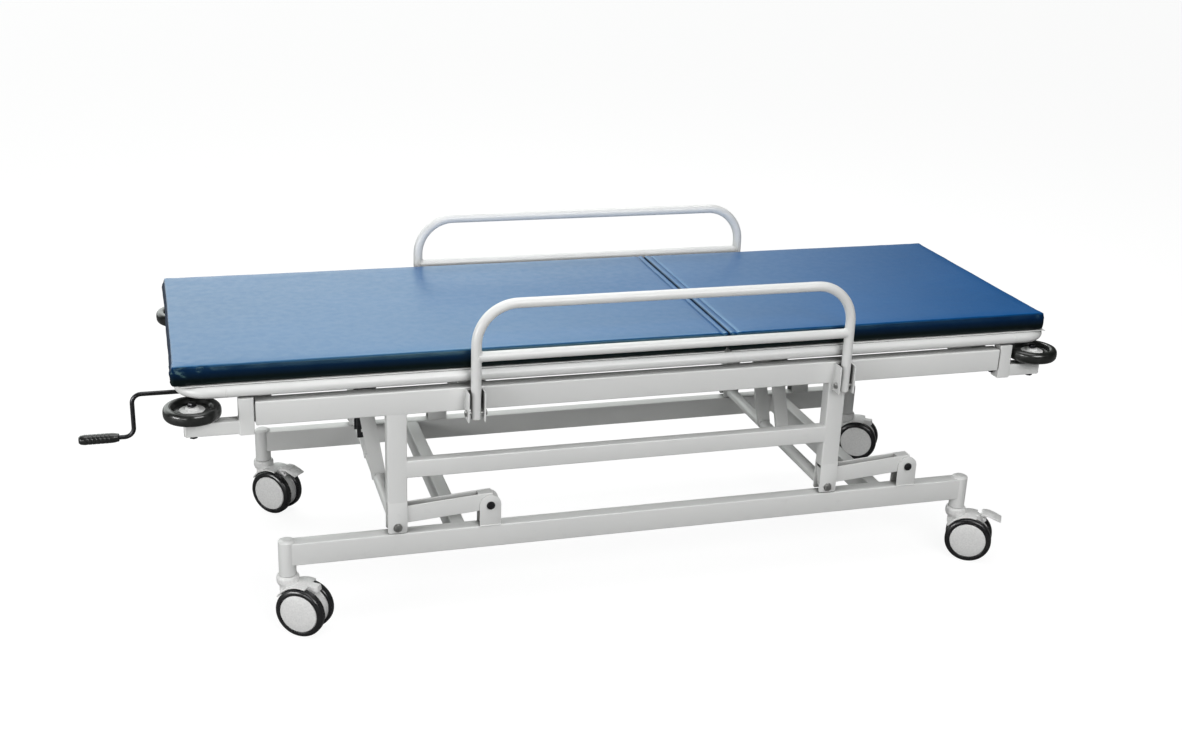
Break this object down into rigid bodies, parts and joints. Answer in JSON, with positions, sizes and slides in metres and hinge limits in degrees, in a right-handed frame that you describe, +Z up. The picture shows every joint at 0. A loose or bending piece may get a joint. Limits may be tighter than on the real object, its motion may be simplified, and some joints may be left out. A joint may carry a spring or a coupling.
{
  "type": "stretcher trolley",
  "caption": "Crank-height patient stretcher trolley: tube frame on swivel casters, lifting bed with two-part mattress, raising backrest, corner bumpers and drop-down side rails.",
  "frame": {"origin": "on the floor, under the middle of the whole trolley's box", "axes": "+X to the head end, where the backrest lifts; -Y is the near long side; +Z up; lowest bed height"},
  "size_m": [2.153, 0.7235, 0.7092],
  "materials": {
    "white_powder_coat": "semi-gloss off-white powder coat",
    "zinc_steel": "zinc plated, satin",
    "dark_steel": "dark grey oiled steel",
    "blue_vinyl": "glossy blue coated fabric with a fine grain",
    "black_rubber": "satin black",
    "light_plastic": "light grey moulded plastic",
    "black_tread": "smooth glossy black tread"
  },
  "bodies": {
    "base": {"base_frame": "white_powder_coat", "arm_bolt_foot_near": "dark_steel", "arm_bolt_foot_far": "dark_steel", "arm_bolt_head_near": "dark_steel", "arm_bolt_head_far": "dark_steel"},
    "lift_arm_foot": {"lift_arm_foot": "white_powder_coat", "lever_pin_foot": "zinc_steel"},
    "lift_arm_head": {"lift_arm_head": "white_powder_coat", "lever_pin_head": "zinc_steel"},
    "tie_bar": {"tie_bar": "white_powder_coat"},
    "bed_frame": {"upper_frame": "white_powder_coat", "bed_tube": "white_powder_coat", "seat_deck": "white_powder_coat", "mattress_seat": "blue_vinyl", "leg_shaft_foot": "zinc_steel", "leg_shaft_head": "zinc_steel", "screw_bearing_foot": "zinc_steel", "screw_bearing_head": "zinc_steel", "prop_rack_near": "zinc_steel", "prop_rack_far": "zinc_steel", "backrest_hinge_rod": "zinc_steel", "rail_pin_foot_near": "zinc_steel", "rail_pin_foot_far": "zinc_steel", "rail_pin_head_near": "zinc_steel", "rail_pin_head_far": "zinc_steel", "bumper_bolt_foot_near": "dark_steel", "bumper_bolt_foot_far": "dark_steel", "bumper_bolt_head_near": "dark_steel", "bumper_bolt_head_far": "dark_steel"},
    "drive_nut": {"drive_nut": "dark_steel"},
    "crank": {"crank_arm": "dark_steel", "lead_screw": "dark_steel"},
    "crank_grip": {"crank_grip": "black_rubber"},
    "backrest": {"back_deck": "white_powder_coat", "mattress_back": "blue_vinyl", "prop_pivot_rod": "zinc_steel"},
    "back_prop": {"back_prop": "zinc_steel"},
    "side_rail_near": {"side_rail_near": "white_powder_coat"},
    "side_rail_far": {"side_rail_far": "white_powder_coat"},
    "bumper_foot_near": {"bumper_foot_near": "black_rubber"},
    "bumper_foot_far": {"bumper_foot_far": "black_rubber"},
    "bumper_head_near": {"bumper_head_near": "black_rubber"},
    "bumper_head_far": {"bumper_head_far": "black_rubber"},
    "caster_foot_near": {"caster_housing_foot_near": "light_plastic"},
    "wheels_foot_near": {"caster_wheel_foot_near_outer": "black_tread", "caster_wheel_foot_near_inner": "black_tread"},
    "caster_foot_far": {"caster_housing_foot_far": "light_plastic"},
    "wheels_foot_far": {"caster_wheel_foot_far_outer": "black_tread", "caster_wheel_foot_far_inner": "black_tread"},
    "pedal_foot_far": {"brake_pedal_foot_far": "light_plastic"},
    "caster_head_near": {"caster_housing_head_near": "light_plastic"},
    "wheels_head_near": {"caster_wheel_head_near_outer": "black_tread", "caster_wheel_head_near_inner": "black_tread"},
    "pedal_head_near": {"brake_pedal_head_near": "light_plastic"},
    "caster_head_far": {"caster_housing_head_far": "light_plastic"},
    "wheels_head_far": {"caster_wheel_head_far_outer": "black_tread", "caster_wheel_head_far_inner": "black_tread"}
  },
  "joints": [
    {"name": "lift", "type": "hinge", "parent": "base", "child": "lift_arm_foot", "pos_m": [-0.2502, 0.0091, 0.247], "axis": [0, 1, 0], "range_deg": [0, 59]},
    {"name": "bed_level", "type": "hinge", "parent": "lift_arm_foot", "child": "bed_frame", "pos_m": [-0.4475, 0.0091, 0.2145], "axis": [0, 1, 0], "range_deg": [-59.5, 0.5]},
    {"name": "lift_head", "type": "hinge", "parent": "base", "child": "lift_arm_head", "pos_m": [0.7268, 0.0091, 0.247], "axis": [0, 1, 0], "range_deg": [-0.5, 59.5]},
    {"name": "tie_bar_level", "type": "hinge", "parent": "lift_arm_foot", "child": "tie_bar", "pos_m": [-0.47431, 0.0091, 0.37731], "axis": [0, 1, 0], "range_deg": [-59.5, 0.5]},
    {"name": "nut_travel", "type": "slide", "parent": "bed_frame", "child": "drive_nut", "axis": [1, 0, 0], "range_m": [-0.001, 0.154]},
    {"name": "crank_turn", "type": "hinge", "parent": "bed_frame", "child": "crank", "pos_m": [-0.7685, 0.0091, 0.4295], "axis": [1, 0, 0], "range_deg": [-5, 5500]},
    {"name": "grip_spin", "type": "hinge", "parent": "crank", "child": "crank_grip", "pos_m": [-1.0285, 0.0091, 0.3335], "axis": [1, 0, 0], "continuous": true},
    {"name": "backrest_tilt", "type": "hinge", "parent": "bed_frame", "child": "backrest", "pos_m": [0.2715, 0.0091, 0.548], "axis": [0, -1, 0], "range_deg": [0, 75]},
    {"name": "prop_fold", "type": "hinge", "parent": "backrest", "child": "back_prop", "pos_m": [0.57141, 0.0091, 0.54067], "axis": [0, -1, 0], "range_deg": [-151, 1]},
    {"name": "rail_near_drop", "type": "hinge", "parent": "bed_frame", "child": "side_rail_near", "pos_m": [0.1235, -0.3219, 0.4675], "axis": [1, 0, 0], "range_deg": [0, 180]},
    {"name": "rail_far_drop", "type": "hinge", "parent": "bed_frame", "child": "side_rail_far", "pos_m": [0.1235, 0.3401, 0.4675], "axis": [-1, 0, 0], "range_deg": [0, 180]},
    {"name": "bumper_foot_near_roll", "type": "hinge", "parent": "bed_frame", "child": "bumper_foot_near", "pos_m": [-0.8455, -0.2884, 0.5015], "axis": [0, 0, 1], "continuous": true},
    {"name": "bumper_foot_far_roll", "type": "hinge", "parent": "bed_frame", "child": "bumper_foot_far", "pos_m": [-0.8455, 0.3066, 0.5015], "axis": [0, 0, 1], "continuous": true},
    {"name": "bumper_head_near_roll", "type": "hinge", "parent": "bed_frame", "child": "bumper_head_near", "pos_m": [1.0205, -0.2884, 0.5015], "axis": [0, 0, 1], "continuous": true},
    {"name": "bumper_head_far_roll", "type": "hinge", "parent": "bed_frame", "child": "bumper_head_far", "pos_m": [1.0205, 0.3066, 0.5015], "axis": [0, 0, 1], "continuous": true},
    {"name": "caster_foot_near_swivel", "type": "hinge", "parent": "base", "child": "caster_foot_near", "pos_m": [-0.6745, -0.2884, 0.1225], "axis": [0, 0, 1], "continuous": true},
    {"name": "caster_foot_near_roll", "type": "hinge", "parent": "caster_foot_near", "child": "wheels_foot_near", "pos_m": [-0.64347, -0.30855, 0.0535], "axis": [0.5446, 0.8387, 0], "continuous": true},
    {"name": "caster_foot_far_swivel", "type": "hinge", "parent": "base", "child": "caster_foot_far", "pos_m": [-0.6745, 0.3066, 0.1225], "axis": [0, 0, 1], "continuous": true},
    {"name": "caster_foot_far_roll", "type": "hinge", "parent": "caster_foot_far", "child": "wheels_foot_far", "pos_m": [-0.647, 0.28184, 0.0535], "axis": [0.6691, 0.7431, 0], "continuous": true},
    {"name": "caster_foot_far_brake", "type": "hinge", "parent": "caster_foot_far", "child": "pedal_foot_far", "pos_m": [-0.62545, 0.26244, 0.107], "axis": [0.6691, 0.7431, 0], "range_deg": [0, 10], "stiffness_Nm_per_rad": 3},
    {"name": "caster_head_near_swivel", "type": "hinge", "parent": "base", "child": "caster_head_near", "pos_m": [0.8775, -0.2884, 0.1225], "axis": [0, 0, 1], "continuous": true},
    {"name": "caster_head_near_roll", "type": "hinge", "parent": "caster_head_near", "child": "wheels_head_near", "pos_m": [0.90853, -0.30855, 0.0535], "axis": [0.5446, 0.8387, 0], "continuous": true},
    {"name": "caster_head_near_brake", "type": "hinge", "parent": "caster_head_near", "child": "pedal_head_near", "pos_m": [0.93285, -0.32435, 0.107], "axis": [0.5446, 0.8387, 0], "range_deg": [0, 10], "stiffness_Nm_per_rad": 3},
    {"name": "caster_head_far_swivel", "type": "hinge", "parent": "base", "child": "caster_head_far", "pos_m": [0.8775, 0.3066, 0.1225], "axis": [0, 0, 1], "continuous": true},
    {"name": "caster_head_far_roll", "type": "hinge", "parent": "caster_head_far", "child": "wheels_head_far", "pos_m": [0.90853, 0.28645, 0.0535], "axis": [0.5446, 0.8387, 0], "continuous": true}
  ],
  "couplings": [
    {"joint": "bed_level", "follows": "lift", "ratio": -1},
    {"joint": "lift_head", "follows": "lift", "ratio": 1},
    {"joint": "tie_bar_level", "follows": "lift", "ratio": -1},
    {"joint": "nut_travel", "follows": "lift", "m_per_rad": 0.1482},
    {"joint": "crank_turn", "follows": "lift", "ratio": 93.117},
    {"joint": "prop_fold", "follows": "backrest_tilt", "ratio": -2}
  ]
}
